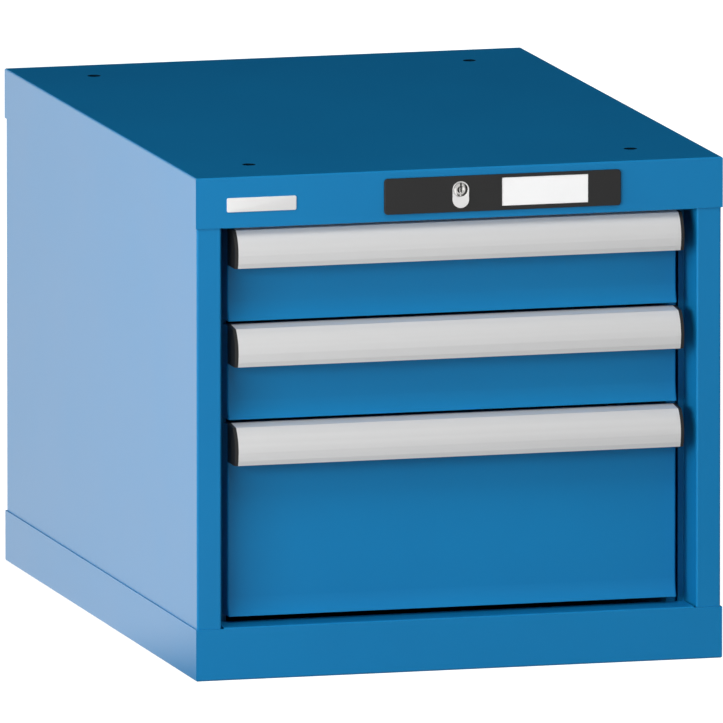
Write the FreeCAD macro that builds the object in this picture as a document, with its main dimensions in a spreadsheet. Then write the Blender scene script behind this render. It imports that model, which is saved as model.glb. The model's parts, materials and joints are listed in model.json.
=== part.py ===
import FreeCAD, Part
import math
import os

import Sketcher

# Drawer cabinet of folded sheet steel: three drawers on full-extension rails with rolling carriages,
# locked together by one bar at the back. Lengths in millimetres.
# X runs to the right, Y to the back, Z up. The origin is under the middle of the whole object.
# Pieces are drawn from the front plane of the cover, so each has the same shift in Y.

LEVELS = ["top", "middle", "bottom"]
STATIONS = ["front", "middle", "rear"]
# Two places closer than this are the same place
FIT = 0.001

SIZES = {
    # Drawer insides and fronts
    "usable_width": 306,
    "usable_depth": 459,
    "front_height_top": 75,
    "front_height_middle": 75,
    "front_height_bottom": 150,
    "drawer_sheet": 1,
    "tray_floor_rise": 12,
    "tray_wall_drop": 11.5,
    "tray_hem": 4,
    "slot_pitch": 25,
    "slot_width": 2.5,
    "slot_margin": 4.5,
    # Drawer front panel
    "front_setback": 22.3,
    "front_sheet": 1.2,
    "front_pan_depth": 13,
    "front_side_gap": 10.4,
    "front_bottom_gap": 2.3,
    "front_top_gap": 2,
    "front_lip_height": 14,
    "front_lip_reach": 3.5,
    "front_edge": 0.8,
    # Grip handle and its end caps
    "handle_top_gap": 0.3,
    "handle_top_run": 15.5,
    "handle_top_slope": 1.5,
    "handle_reach": 23.5,
    "handle_nose_drop": 20,
    "handle_grip_radius": 24,
    "handle_chin_drop": 6,
    "handle_chin_back": 0.7,
    "handle_height": 29.7,
    "handle_toe_back": 2,
    "handle_wall": 1.8,
    "handle_web_rise": 2,
    "end_cap_thickness": 2.5,
    # Rails, carriages and rollers
    "rail_rise": 20,
    "rail_sheet": 1.5,
    "rail_depth": 8,
    "roller_radius": 9.7,
    "roller_clearance": 0.3,
    "roller_web_gap": 0.7,
    "roller_lip_gap": 0.6,
    "station_inset": 25,
    "cage_plate": 1.5,
    "cage_half_height": 13,
    "cage_gap": 1.5,
    "cage_end": 16,
    "cage_clearance": 0.1,
    "cage_slot_margin": 22,
    "cage_slot_height": 12,
    "rail_end_margin": 10.3,
    "rail_front_gap": 0.3,
    # Uprights
    "upright_sheet": 1.5,
    "upright_lip": 7,
    "upright_web_depth": 30,
    "upright_foot": 20,
    "upright_post_gap": 2,
    "upright_front_gap": 0.5,
    "upright_top_gap": 0.3,
    "upright_slot_pitch": 25,
    "upright_slot_width": 3,
    "upright_slot_height": 12,
    "upright_slot_start": 40,
    # Side panels and back panel
    "post_width": 19,
    "post_return": 35.7,
    "post_lip": 4.5,
    "rear_return": 20,
    "rear_space": 71.2,
    "housing_sheet": 1,
    "bend_radius": 0.5,
    "back_panel_flange": 12,
    # Top cover and base tray
    "band_sheet": 1,
    "cover_band": 38.5,
    "cover_lip_drop": 0.6,
    "base_band": 39.4,
    "base_lip_rise": 0.9,
    "lip_depth": 27.7,
    "lip_side_gap": 2,
    "lip_overlap": 6,
    "floor_gap": 2.7,
    "ceiling_gap": 0.9,
    "fixing_hole_radius": 5.1,
    "fixing_spacing_x": 298,
    "fixing_front": 57,
    "fixing_back": 55.2,
    # Lock strip on the front band
    "strip_left": 59.3,
    "strip_length": 184.5,
    "strip_height": 27.3,
    "strip_top_gap": 6,
    "strip_proud": 2,
    "strip_corner": 2.75,
    "strip_edge": 0.5,
    "label_left": 32.3,
    "label_length": 67.2,
    "label_height": 21.5,
    "label_top_gap": 2.5,
    "label_recess": 0.8,
    "card_thickness": 0.4,
    "escutcheon_width": 12.6,
    "escutcheon_height": 20.2,
    "escutcheon_top_gap": 4,
    "escutcheon_proud": 1,
    "escutcheon_dish_radius": 5.9,
    "escutcheon_dish_depth": 0.6,
    "core_drop": 16.3,
    "core_radius": 5.4,
    "core_clearance": 0.06,
    "core_length": 26,
    "core_recess": 0.2,
    "keyway_width": 1.2,
    "keyway_height": 6.8,
    "keyway_rise": 1.7,
    "keyway_depth": 9,
    "cylinder_wall": 3,
    "cylinder_length": 24,
    # Lock linkage
    "rod_radius": 4,
    "rod_clearance": 0.05,
    "crank_radius": 7,
    "crank_angle": 45,
    "crank_thickness": 3,
    "crank_gap": 2.5,
    "crank_half_width": 4.2,
    "crank_pin_radius": 2,
    "crank_pin_beyond": 1.5,
    "crank_slot_play": 0.4,
    "bar_width": 18,
    "bar_thickness": 2,
    "bar_setback": 35.5,
    "bar_slide_gap": 0.3,
    "bar_top_margin": 6,
    "bar_bottom_margin": 8,
    "finger_width": 8,
    "finger_thickness": 3,
    "finger_offset": 7,
    "finger_height": 15,
    "finger_gap": 1.5,
    "catch_rise": 42,
    "catch_width": 30,
    "catch_thickness": 1.5,
    "catch_foot": 18,
    "catch_play": 1.6,
    "catch_rear_gap": 3,
    "guide_width": 34,
    "guide_foot": 14,
    "guide_front_margin": 6,
    "guide_thickness": 1.5,
    "guide_top_drop": 28,
    "guide_bottom_rise": 107,
    "bracket_width": 26,
    "bracket_thickness": 2,
    "bracket_foot": 14,
    "bracket_gap": 4,
    "bracket_drop": 8,
}


class Size:
    """A length or count, with the formula that keeps it tied to the sheet."""

    def __init__(self, value, formula):
        self.value = value
        self.formula = formula

    def joined(self, other, sign, value):
        return Size(value, f"({self.formula} {sign} {as_size(other).formula})")

    def __add__(self, other):
        return self.joined(other, "+", self.value + as_size(other).value)

    def __radd__(self, other):
        return as_size(other) + self

    def __sub__(self, other):
        return self.joined(other, "-", self.value - as_size(other).value)

    def __rsub__(self, other):
        return as_size(other) - self

    def __mul__(self, other):
        return self.joined(other, "*", self.value * as_size(other).value)

    def __rmul__(self, other):
        return as_size(other) * self

    def __truediv__(self, other):
        return self.joined(other, "/", self.value / as_size(other).value)

    def __neg__(self):
        return Size(-self.value, f"(-{self.formula})")


def as_size(number):
    return number if isinstance(number, Size) else Size(float(number), repr(number))


def bind(obj, prop, size):
    size = as_size(size)
    obj.setExpression(prop, size.formula)


class Sheet:
    """The spreadsheet of driving dimensions; each one is read by its name."""

    def __init__(self, document, sizes):
        self.cells = {}
        table = document.addObject("Spreadsheet::Sheet", "sizes")
        for row, (name, value) in enumerate(sizes.items(), start=1):
            table.set(f"A{row}", name)
            table.set(f"B{row}", str(value))
            table.setAlias(f"B{row}", name)
            self.cells[name] = Size(float(value), f"sizes.{name}")

    def __getattr__(self, name):
        return self.cells[name]


doc = FreeCAD.newDocument("drawer_cabinet")
s = Sheet(doc, SIZES)
doc.recompute()

# Stack from the middle of the cabinet out to its side
half_inside = s.usable_width / 2
drawer_rail_in = half_inside + s.drawer_sheet
drawer_rail_web = drawer_rail_in + s.rail_sheet
drawer_rail_out = drawer_rail_web + s.rail_depth
plate_in = drawer_rail_out + s.cage_gap
plate_out = plate_in + s.cage_plate
cabinet_rail_in = plate_out + s.cage_gap
cabinet_rail_web = cabinet_rail_in + s.rail_depth
upright_in = cabinet_rail_web + s.rail_sheet
upright_out = upright_in + s.upright_sheet
post_lip_end = upright_out + s.upright_post_gap
half_opening = post_lip_end + s.post_lip
half_housing = half_opening + s.post_width
half_width = half_housing + s.band_sheet
side_inner_face = half_housing - s.housing_sheet
half_front = half_opening - s.front_side_gap
half_lip = half_opening - s.lip_side_gap

# Stack from the front plane to the back
pan_back = s.front_setback + s.front_pan_depth
tray_front = pan_back + s.drawer_sheet
tray_back = tray_front + s.usable_depth
back_wall_rear = tray_back + s.drawer_sheet
post_front = s.band_sheet
post_lip_front = post_front + s.post_return
housing_back = back_wall_rear + s.rear_space + s.housing_sheet * 2
housing_depth = housing_back + s.band_sheet
back_panel_front = back_wall_rear + s.rear_space
upright_front = post_lip_front + s.housing_sheet + s.upright_front_gap
rail_front = upright_front + s.upright_sheet + s.rail_front_gap
# A drawer runs out until its back wall is level with the cover's front; its carriages run half as far
drawer_travel = s.usable_depth + s.drawer_sheet
station_spacing = drawer_travel / 2 - s.station_inset
middle_station = rail_front + s.rail_end_margin + s.roller_radius + drawer_travel / 2
station_y = {
    "front": middle_station - station_spacing,
    "middle": middle_station,
    "rear": middle_station + station_spacing,
}
drawer_rail_rear = middle_station + drawer_travel / 2 + s.roller_radius + s.rail_end_margin
rear_upright_back = drawer_rail_rear + s.rail_end_margin
cabinet_rail_rear = rear_upright_back - s.upright_sheet - s.rail_front_gap

# Stack from the floor up
base_lip_top = s.base_band + s.base_lip_rise
zone_bottom = {}
zone_top = {}
level_floor = base_lip_top + s.floor_gap
for level in reversed(LEVELS):
    zone_bottom[level] = level_floor
    level_floor = level_floor + getattr(s, f"front_height_{level}")
    zone_top[level] = level_floor
cover_lip_bottom = zone_top["top"] + s.ceiling_gap
cover_bottom = cover_lip_bottom + s.cover_lip_drop
height = cover_bottom + s.cover_band
cover_underside = height - s.band_sheet
strip_top = height - s.strip_top_gap
core_z = height - s.core_drop
fixing_rear = housing_depth - s.fixing_back

# Furthest point forward, and the shift that puts the origin in the middle
front_proud = s.strip_proud + s.escutcheon_proud
depth_shift = (front_proud - housing_depth) / 2

nodes = []


def keep(obj, name):
    """Make an object a sub-part of the cabinet under this name."""
    obj.Label = name
    bind(obj, "Placement.Base.y", depth_shift)
    nodes.append((name, obj))
    return obj


def new_body(name):
    return doc.addObject("PartDesign::Body", name)


def new_sketch(body, plane, offset):
    """A sketch parallel to one of the body's own origin planes."""
    sketch = body.newObject("Sketcher::SketchObject", f"{body.Name}_outline")
    support = [item for item in body.Origin.OriginFeatures if item.Role == plane]
    sketch.AttachmentSupport = (support[0], "")
    sketch.MapMode = "FlatFace"
    bind(sketch, "AttachmentOffset.Base.z", offset)
    return sketch


def arc_between(start, end, radius):
    """The short arc from start to end; a positive radius turns left on the way."""
    chord = end - start
    left = FreeCAD.Vector(-chord.y, chord.x, 0).normalize()
    reach = math.sqrt(radius ** 2 - (chord.Length / 2) ** 2)
    centre = start + chord * 0.5 + left * math.copysign(reach, radius)
    circle = Part.Circle(centre, FreeCAD.Vector(0, 0, 1), abs(radius))
    ends = [start, end] if radius > 0 else [end, start]
    angles = [math.atan2(point.y - centre.y, point.x - centre.x) for point in ends]
    return Part.ArcOfCircle(circle, angles[0], angles[1])


def draw_loop(sketch, corners, bends):
    """Add one closed outline; bends gives the radius of the arc that leaves a corner."""
    first = sketch.GeometryCount
    count = len(corners)
    points = [FreeCAD.Vector(as_size(x).value, as_size(y).value, 0) for x, y in corners]
    edges = []
    for index, start in enumerate(points):
        end = points[(index + 1) % count]
        if index in bends:
            edges.append(arc_between(start, end, bends[index].value))
        else:
            edges.append(Part.LineSegment(start, end))
    sketch.addGeometry(edges, False)
    # An arc that turns right is kept as the same arc run backwards
    leaving = [2 if index in bends and bends[index].value < 0 else 1 for index in range(count)]
    rules = []
    formulas = []
    for index, (x, y) in enumerate(corners):
        edge = first + index
        following = (index + 1) % count
        rules.append(Sketcher.Constraint("Coincident", edge, 3 - leaving[index],
                                         first + following, leaving[following]))
        formulas.append(None)
        for kind, size in (("DistanceX", as_size(x)), ("DistanceY", as_size(y))):
            rules.append(Sketcher.Constraint(kind, -1, 1, edge, leaving[index], size.value))
            formulas.append(size.formula)
        if index in bends:
            radius = bends[index] if bends[index].value > 0 else -bends[index]
            rules.append(Sketcher.Constraint("Radius", edge, radius.value))
            formulas.append(radius.formula)
    earlier = sketch.ConstraintCount
    sketch.addConstraint(rules)
    for index, formula in enumerate(formulas):
        if formula is not None:
            sketch.setExpression(f"Constraints[{earlier + index}]", formula)


def draw_circle(sketch, x, y, radius):
    x, y, radius = as_size(x), as_size(y), as_size(radius)
    centre = FreeCAD.Vector(x.value, y.value, 0)
    edge = sketch.addGeometry(Part.Circle(centre, FreeCAD.Vector(0, 0, 1), radius.value), False)
    earlier = sketch.ConstraintCount
    sketch.addConstraint([Sketcher.Constraint("DistanceX", -1, 1, edge, 3, x.value),
                          Sketcher.Constraint("DistanceY", -1, 1, edge, 3, y.value),
                          Sketcher.Constraint("Radius", edge, radius.value)])
    for index, size in enumerate((x, y, radius)):
        sketch.setExpression(f"Constraints[{earlier + index}]", size.formula)


def rectangle(left, low, right, high):
    return [(left, low), (right, low), (right, high), (left, high)], {}


def rounded_rectangle(left, low, right, high, radius):
    corners = [(left + radius, low), (right - radius, low), (right, low + radius),
               (right, high - radius), (right - radius, high), (left + radius, high),
               (left, high - radius), (left, low + radius)]
    return corners, {index: as_size(radius) for index in (1, 3, 5, 7)}


def upright_slot(middle, low, high, radius):
    """A slot with round ends, long in the sketch's y."""
    left, right = middle - radius, middle + radius
    corners = [(left, low + radius), (middle, low), (right, low + radius),
               (right, high - radius), (middle, high), (left, high - radius)]
    return corners, {index: as_size(radius) for index in (0, 1, 3, 4)}


def unit_step(start, end):
    """The way along an edge that lies along x or y."""
    across = as_size(end[0]).value - as_size(start[0]).value
    along = as_size(end[1]).value - as_size(start[1]).value
    if abs(across) > abs(along):
        return int(math.copysign(1, across)), 0
    return 0, int(math.copysign(1, along))


def moved(point, distance, way):
    """The point moved by a distance along a unit step."""
    x, y = point
    if way[0]:
        x = x + distance if way[0] > 0 else x - distance
    if way[1]:
        y = y + distance if way[1] > 0 else y - distance
    return x, y


def folded(path, sheet, bend=None):
    """Outline of a folded sheet: the path is its right-hand face, and the sheet lies to the left."""
    ways = [unit_step(path[index], path[index + 1]) for index in range(len(path) - 1)]
    lefts = [(-way[1], way[0]) for way in ways]
    faces = {"right": [path[0]], "left": [moved(path[0], sheet, lefts[0])]}
    arcs = {"right": [None], "left": [None]}
    for index in range(1, len(path) - 1):
        before, after = ways[index - 1], ways[index]
        turns_left = before[0] * after[1] - before[1] * after[0] > 0
        corner = path[index]
        offset_corner = moved(moved(corner, sheet, lefts[index - 1]), sheet, lefts[index])
        for face, place in (("right", corner), ("left", offset_corner)):
            if bend is None:
                faces[face].append(place)
                arcs[face].append(None)
                continue
            outside = turns_left == (face == "right")
            radius = bend + sheet if outside else bend
            faces[face] += [moved(place, -radius, before), moved(place, radius, after)]
            arcs[face] += [radius if turns_left else -radius, None]
    faces["right"].append(path[-1])
    faces["left"].append(moved(path[-1], sheet, lefts[-1]))
    arcs["right"].append(None)
    going_back = [None if arc is None else -arc for arc in reversed(arcs["left"])]
    corners = faces["right"] + faces["left"][::-1]
    bends = arcs["right"] + going_back
    return corners, {index: arc for index, arc in enumerate(bends) if arc is not None}


def extrude(kind, body, plane, offset, length, outlines=(), circles=(), way="normal"):
    """Pad or pocket outlines drawn on one sketch plane: along its normal, against it, or both."""
    sketch = new_sketch(body, plane, offset)
    for corners, bends in outlines:
        draw_loop(sketch, corners, bends)
    for x, y, radius in circles:
        draw_circle(sketch, x, y, radius)
    feature = body.newObject(f"PartDesign::{kind}", f"{body.Name}_{kind.lower()}")
    feature.Profile = sketch
    if way == "both":
        feature.SideType = "Symmetric"
    # A pocket cuts against the sketch's normal unless it is reversed
    feature.Reversed = way == ("against" if kind == "Pad" else "normal")
    bind(feature, "Length", length)
    return feature


def pad(*where, **what):
    return extrude("Pad", *where, **what)


def pocket(*where, **what):
    return extrude("Pocket", *where, **what)


def turned(body, plane, axis_height, offset, steps):
    """Revolve a stepped profile; each step is its start, its end and its radius."""
    sketch = new_sketch(body, plane, offset)
    bind(sketch, "AttachmentOffset.Base.y", axis_height)
    profile = [(steps[0][0], 0), (steps[-1][1], 0)]
    for start, end, radius in reversed(steps):
        profile += [(end, radius), (start, radius)]
    draw_loop(sketch, profile, {})
    feature = body.newObject("PartDesign::Revolution", f"{body.Name}_turned")
    feature.Profile = sketch
    feature.ReferenceAxis = (sketch, ["H_Axis"])
    feature.Angle = 360
    return feature


def repeated(body, feature, axis, pitch, count):
    """A row of copies of a pocket along one of the body's axes."""
    pattern = body.newObject("PartDesign::LinearPattern", f"{body.Name}_row")
    pattern.Originals = [feature]
    role = [item for item in body.Origin.OriginFeatures if item.Role == axis]
    pattern.Direction = (role[0], [""])
    pattern.Mode = "Spacing"
    bind(pattern, "Offset", pitch)
    pattern.Occurrences = count
    body.Tip = pattern
    return pattern


def dress_edges(kind, prop, body, wanted, size):
    """Fillet or chamfer every edge of the body so far that passes the test."""
    doc.recompute()
    base = body.Tip
    names = [f"Edge{index}" for index, edge in enumerate(base.Shape.Edges, start=1) if wanted(edge)]
    feature = body.newObject(f"PartDesign::{kind}", f"{body.Name}_{kind.lower()}")
    feature.Base = (base, names)
    bind(feature, prop, size)
    return feature


def lies_at(element, place, coordinate):
    """True if every corner of an edge or face lies at this place along x, y or z."""
    return all(abs(getattr(vertex.Point, coordinate) - place.value) < FIT for vertex in element.Vertexes)


def mirrored(source, name):
    copy = doc.addObject("Part::Mirroring", name)
    copy.Source = source
    copy.Normal = FreeCAD.Vector(1, 0, 0)
    return copy


def keep_pair(right, name):
    """Keep a right-hand piece and its mirror image as one node of two solids."""
    pair = doc.addObject("Part::Compound", name)
    pair.Links = [right, mirrored(right, f"{name}_left_copy")]
    return keep(pair, name)


def keep_both_sides(right, name):
    """Keep a right-hand piece and its mirror image as two nodes."""
    keep(right, f"{name}_right")
    left = mirrored(right, f"{name}_left")
    left.Label = f"{name}_left"
    nodes.append((left.Label, left))


def cosine(angle):
    return Size(math.cos(math.radians(angle.value)), f"cos({angle.formula})")


def sine(angle):
    return Size(math.sin(math.radians(angle.value)), f"sin({angle.formula})")


def root(size):
    return Size(math.sqrt(size.value), f"sqrt({size.formula})")


# Housing


def make_side_panels():
    body = new_body("side_panel")
    path = [(post_lip_end, post_lip_front), (half_opening, post_lip_front),
            (half_opening, post_front), (half_housing, post_front),
            (half_housing, housing_back), (half_housing - s.rear_return, housing_back)]
    pad(body, "XY_Plane", s.band_sheet, cover_underside - s.band_sheet,
        [folded(path, s.housing_sheet, s.bend_radius)])
    keep_both_sides(body, "side_panel")


def make_back_panel():
    body = new_body("back_panel")
    rear = housing_back - s.housing_sheet
    path = [(side_inner_face, rear - s.back_panel_flange), (side_inner_face, rear),
            (-side_inner_face, rear), (-side_inner_face, rear - s.back_panel_flange)]
    pad(body, "XY_Plane", s.band_sheet, cover_underside - s.band_sheet,
        [folded(path, s.housing_sheet, s.bend_radius)])
    keep(body, "back_panel")


def make_pan(name, low, high, open_end, lip_path):
    """A folded pan over the whole footprint, with a lip across the front opening."""
    closed_end = high if open_end is low else low
    body = new_body(name)
    pad(body, "XY_Plane", low, high - low, [rectangle(-half_width, as_size(0), half_width, housing_depth)])
    dress_edges("Fillet", "Radius", body, lambda edge: lies_at(edge, closed_end, "z"),
                s.bend_radius + s.band_sheet)
    hollow = rectangle(s.band_sheet - half_width, s.band_sheet, half_width - s.band_sheet,
                       housing_depth - s.band_sheet)
    pocket(body, "XY_Plane", open_end, high - low - s.band_sheet, [hollow],
           way="normal" if open_end is low else "against")
    pad(body, "YZ_Plane", 0, half_lip * 2, [folded(lip_path, s.band_sheet, s.bend_radius)], way="both")
    return body


def make_top_cover():
    lip = [(as_size(0), cover_bottom + s.lip_overlap), (as_size(0), cover_lip_bottom),
           (s.lip_depth, cover_lip_bottom)]
    body = make_pan("top_cover", cover_bottom, height, cover_bottom, lip)
    holes = [(side * s.fixing_spacing_x / 2, place, s.fixing_hole_radius)
             for side in (-1, 1) for place in (s.fixing_front, fixing_rear)]
    pocket(body, "XY_Plane", height, s.band_sheet * 2, circles=holes, way="against")
    pocket(body, "XZ_Plane", 0, s.band_sheet * 2, circles=[(0, core_z, core_bore)], way="against")
    keep(body, "top_cover")


def make_base_tray():
    lip = [(s.lip_depth, base_lip_top), (as_size(0), base_lip_top),
           (as_size(0), s.base_band - s.lip_overlap)]
    body = make_pan("base_tray", as_size(0), s.base_band, s.base_band, lip)
    keep(body, "base_tray")


def make_uprights(place):
    """Slotted uprights of one end; the rear ones are the front ones turned to face back."""
    body = new_body(f"upright_{place}")
    if place == "front":
        face, inward = upright_front, 1
    else:
        face, inward = rear_upright_back, -1
    web_end = face + s.upright_web_depth * inward
    foot_end = web_end + s.upright_foot * inward
    path = [(upright_out - s.upright_lip, face), (upright_out, face), (upright_out, web_end),
            (side_inner_face, web_end), (side_inner_face, foot_end)]
    if place == "rear":
        path = path[::-1]
    pad(body, "XY_Plane", s.band_sheet, cover_underside - s.band_sheet - s.upright_top_gap,
        [folded(path, s.upright_sheet)])
    middle = face + s.upright_web_depth / 2 * inward
    slot = rectangle(middle - s.upright_slot_width / 2, s.upright_slot_start,
                     middle + s.upright_slot_width / 2, s.upright_slot_start + s.upright_slot_height)
    cut = pocket(body, "YZ_Plane", upright_out + s.upright_sheet, s.upright_sheet * 3, [slot], way="against")
    count = int((cover_bottom - s.upright_slot_start).value // s.upright_slot_pitch.value)
    repeated(body, cut, "Z_Axis", s.upright_slot_pitch, count)
    keep_both_sides(body, f"upright_{place}")


def make_cabinet_rails(level):
    body = new_body(f"cabinet_rail_{level}")
    middle = zone_bottom[level] + s.rail_rise
    reach = rail_half_height
    path = [(cabinet_rail_in, middle - reach), (upright_in, middle - reach),
            (upright_in, middle + reach), (cabinet_rail_in, middle + reach)]
    pad(body, "XZ_Plane", -rail_front, cabinet_rail_rear - rail_front,
        [folded(path, s.rail_sheet)], way="against")
    keep_pair(body, f"cabinet_rails_{level}")


# Lock strip and lock


def make_lock_cover():
    body = new_body("lock_cover")
    outline = rounded_rectangle(-s.strip_left, strip_top - s.strip_height,
                                s.strip_length - s.strip_left, strip_top, s.strip_corner)
    pad(body, "XZ_Plane", 0, s.strip_proud, [outline])
    dress_edges("Chamfer", "Size", body, lambda edge: lies_at(edge, -s.strip_proud, "y"), s.strip_edge)
    pocket(body, "XZ_Plane", s.strip_proud, s.label_recess, [label_outline], way="against")
    pocket(body, "XZ_Plane", s.strip_proud, s.strip_proud * 2, [escutcheon_outline], way="against")
    keep(body, "lock_cover")


def make_label_card():
    body = new_body("label_card")
    pad(body, "XZ_Plane", s.strip_proud - s.label_recess, s.card_thickness, [label_outline])
    keep(body, "label_card")


def make_escutcheon():
    body = new_body("lock_escutcheon")
    pad(body, "XZ_Plane", 0, front_proud, [escutcheon_outline])
    pocket(body, "XZ_Plane", front_proud, s.escutcheon_dish_depth,
           circles=[(0, core_z, s.escutcheon_dish_radius)], way="against")
    pocket(body, "XZ_Plane", front_proud, front_proud * 2, circles=[(0, core_z, core_bore)], way="against")
    keep(body, "lock_escutcheon")


def make_lock_cylinder():
    body = new_body("lock_cylinder")
    block = rectangle(-cylinder_half, core_z - cylinder_half, cylinder_half, core_z + cylinder_half)
    pad(body, "XZ_Plane", -s.band_sheet, s.cylinder_length, [block], [(0, core_z, core_bore)], way="against")
    keep(body, "lock_cylinder")


def make_lock_core():
    body = new_body("lock_core")
    front = s.escutcheon_dish_depth + s.core_recess - front_proud
    turned(body, "YZ_Plane", core_z, 0, [(front, core_back, s.core_radius)])
    keyway_low = core_z + s.keyway_rise - s.keyway_height / 2
    keyway = rectangle(-s.keyway_width / 2, keyway_low, s.keyway_width / 2, keyway_low + s.keyway_height)
    pocket(body, "XZ_Plane", -front, s.keyway_depth, [keyway], way="against")
    keep(body, "lock_core")


def make_torsion_rod():
    body = new_body("torsion_rod")
    turned(body, "YZ_Plane", core_z, 0, [(core_back, crank_front, s.rod_radius)])
    keep(body, "torsion_rod")


def make_rod_bracket():
    body = new_body("rod_bracket")
    front = crank_front - s.bracket_gap - s.bracket_thickness
    underside = cover_underside - s.bracket_thickness
    path = [(front - s.bracket_foot, underside), (front, underside), (front, core_z - s.bracket_drop)]
    pad(body, "YZ_Plane", 0, s.bracket_width, [folded(path, s.bracket_thickness)], way="both")
    pocket(body, "XZ_Plane", -(front - s.bracket_thickness), s.bracket_thickness * 3,
           circles=[(0, core_z, s.rod_radius + s.rod_clearance)], way="against")
    keep(body, "rod_bracket")


def make_lock_crank():
    """A lever on the end of the rod, with a pin that reaches into the locking bar."""
    body = new_body("lock_crank")
    across = s.crank_half_width * sine(s.crank_angle)
    up = s.crank_half_width * cosine(s.crank_angle)
    arm = [(up + across, core_z + across - up), (up - across, core_z + across + up),
           (pin_x - up - across, pin_z - across + up), (pin_x - up + across, pin_z - across - up)]
    pad(body, "XZ_Plane", -crank_front, s.crank_thickness, [(arm, {})], way="against")
    pad(body, "XZ_Plane", -crank_front, bar_back + s.crank_pin_beyond - crank_front,
        circles=[(pin_x, pin_z, s.crank_pin_radius)], way="against")
    keep(body, "lock_crank")


def make_locking_bar():
    """A flat bar with a finger for each drawer and a slot for the crank's pin."""
    body = new_body("locking_bar")
    lowest = catch_z["bottom"] - s.finger_gap - s.finger_height - s.bar_bottom_margin
    outline = rectangle(bar_x - s.bar_width / 2, lowest, bar_x + s.bar_width / 2, pin_z + s.bar_top_margin)
    pad(body, "XZ_Plane", -bar_front, s.bar_thickness, [outline], way="against")
    for level in LEVELS:
        top = catch_z[level] - s.finger_gap
        path = [(finger_front, top), (finger_front, top - s.finger_height), (bar_back, top - s.finger_height)]
        pad(body, "YZ_Plane", bar_x, s.finger_width, [folded(path, s.finger_thickness)],
            way="both")
    play = s.crank_pin_radius + s.crank_slot_play
    slot = rectangle(-s.crank_radius - play, pin_z - play, pin_x + play, pin_z + play)
    pocket(body, "XZ_Plane", -bar_front + s.bar_thickness, s.bar_thickness * 3, [slot], way="against")
    keep(body, "locking_bar")


def make_bar_guides():
    """Brackets on the back panel; the bar slides through a window in each."""
    guides = []
    for number, place in enumerate(guide_heights, start=1):
        body = new_body(f"bar_guide_{number}")
        path = [(bar_front - s.guide_front_margin, place), (back_panel_front, place),
                (back_panel_front, place + s.guide_foot)]
        pad(body, "YZ_Plane", bar_x, s.guide_width, [folded(path, s.guide_thickness)], way="both")
        half_window = s.bar_width / 2 + s.bar_slide_gap
        window = rectangle(bar_x - half_window, bar_front - s.bar_slide_gap,
                           bar_x + half_window, bar_back + s.bar_slide_gap)
        pocket(body, "XY_Plane", place - s.guide_thickness, s.guide_thickness * 3, [window], way="normal")
        guides.append(body)
    pair = doc.addObject("Part::Compound", "lock_bar_guides")
    pair.Links = guides
    keep(pair, "lock_bar_guides")


# Drawers


def make_front_panel(level):
    """Folded pan whose face curves forward into a lip along its lower edge."""
    body = new_body(f"front_panel_{level}")
    low = zone_bottom[level] + s.front_bottom_gap
    high = zone_top[level] - s.front_top_gap
    face = s.front_setback
    sheet = s.front_sheet
    bend_z = low + s.front_lip_height
    lip_radius = (s.front_lip_height * s.front_lip_height / s.front_lip_reach + s.front_lip_reach) / 2
    outside = [(face, high), (face, bend_z), (face - s.front_lip_reach, low), (pan_back, low),
               (pan_back, high)]
    pad(body, "YZ_Plane", 0, half_front * 2, [(outside, {1: -lip_radius})], way="both")
    dress_edges("Chamfer", "Size", body, is_front_side_edge, s.front_edge)
    inner_radius = lip_radius + sheet
    inner_drop = s.front_lip_height - sheet
    inner_end = face - lip_radius + root(inner_radius * inner_radius - inner_drop * inner_drop)
    inside = [(face + sheet, high - sheet), (face + sheet, bend_z), (inner_end, low + sheet),
              (pan_back + sheet, low + sheet), (pan_back + sheet, high - sheet)]
    pocket(body, "YZ_Plane", 0, (half_front - sheet) * 2, [(inside, {1: -inner_radius})], way="both")
    keep(body, f"front_panel_{level}")


def is_front_side_edge(edge):
    """True for the upright edge between the drawer's face and its side."""
    face = s.front_setback.value
    return all(abs(abs(vertex.Point.x) - half_front.value) < FIT and abs(vertex.Point.y - face) < FIT
               for vertex in edge.Vertexes)


def handle_face(level):
    """The grip's outer face from the drawer front over the top and down to its lower edge."""
    top = zone_top[level] - s.handle_top_gap
    face = s.front_setback
    nose = face - s.handle_reach
    return [(face, top), (face - s.handle_top_run, top - s.handle_top_slope),
            (nose, top - s.handle_nose_drop),
            (nose + s.handle_chin_back, top - s.handle_nose_drop - s.handle_chin_drop),
            (nose + s.handle_toe_back, top - s.handle_height)]


def make_handle(level):
    """Extruded grip, open underneath for the fingers, with a flange on the drawer front."""
    body = new_body(f"handle_{level}")
    outer = handle_face(level)
    wall = s.handle_wall
    back, corner, nose, chin, toe = outer
    web = back[0] - wall
    web_foot = toe[1] + s.handle_web_rise
    inner = [(toe[0] + wall, toe[1]), (chin[0] + wall, chin[1]), (nose[0] + wall, nose[1]),
             (corner[0] + wall / 2, corner[1] - wall), (web, back[1] - wall), (web, web_foot),
             (back[0], web_foot)]
    bends = {1: s.handle_grip_radius, 7: wall - s.handle_grip_radius}
    pad(body, "YZ_Plane", 0, handle_half * 2, [(outer + inner, bends)], way="both")
    keep(body, f"handle_{level}")


def make_end_caps(level):
    body = new_body(f"end_cap_{level}")
    outline = handle_face(level)
    outline.append((s.front_setback, outline[-1][1]))
    pad(body, "YZ_Plane", handle_half, s.end_cap_thickness, [(outline, {1: s.handle_grip_radius})])
    keep_pair(body, f"handle_end_caps_{level}")


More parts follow.
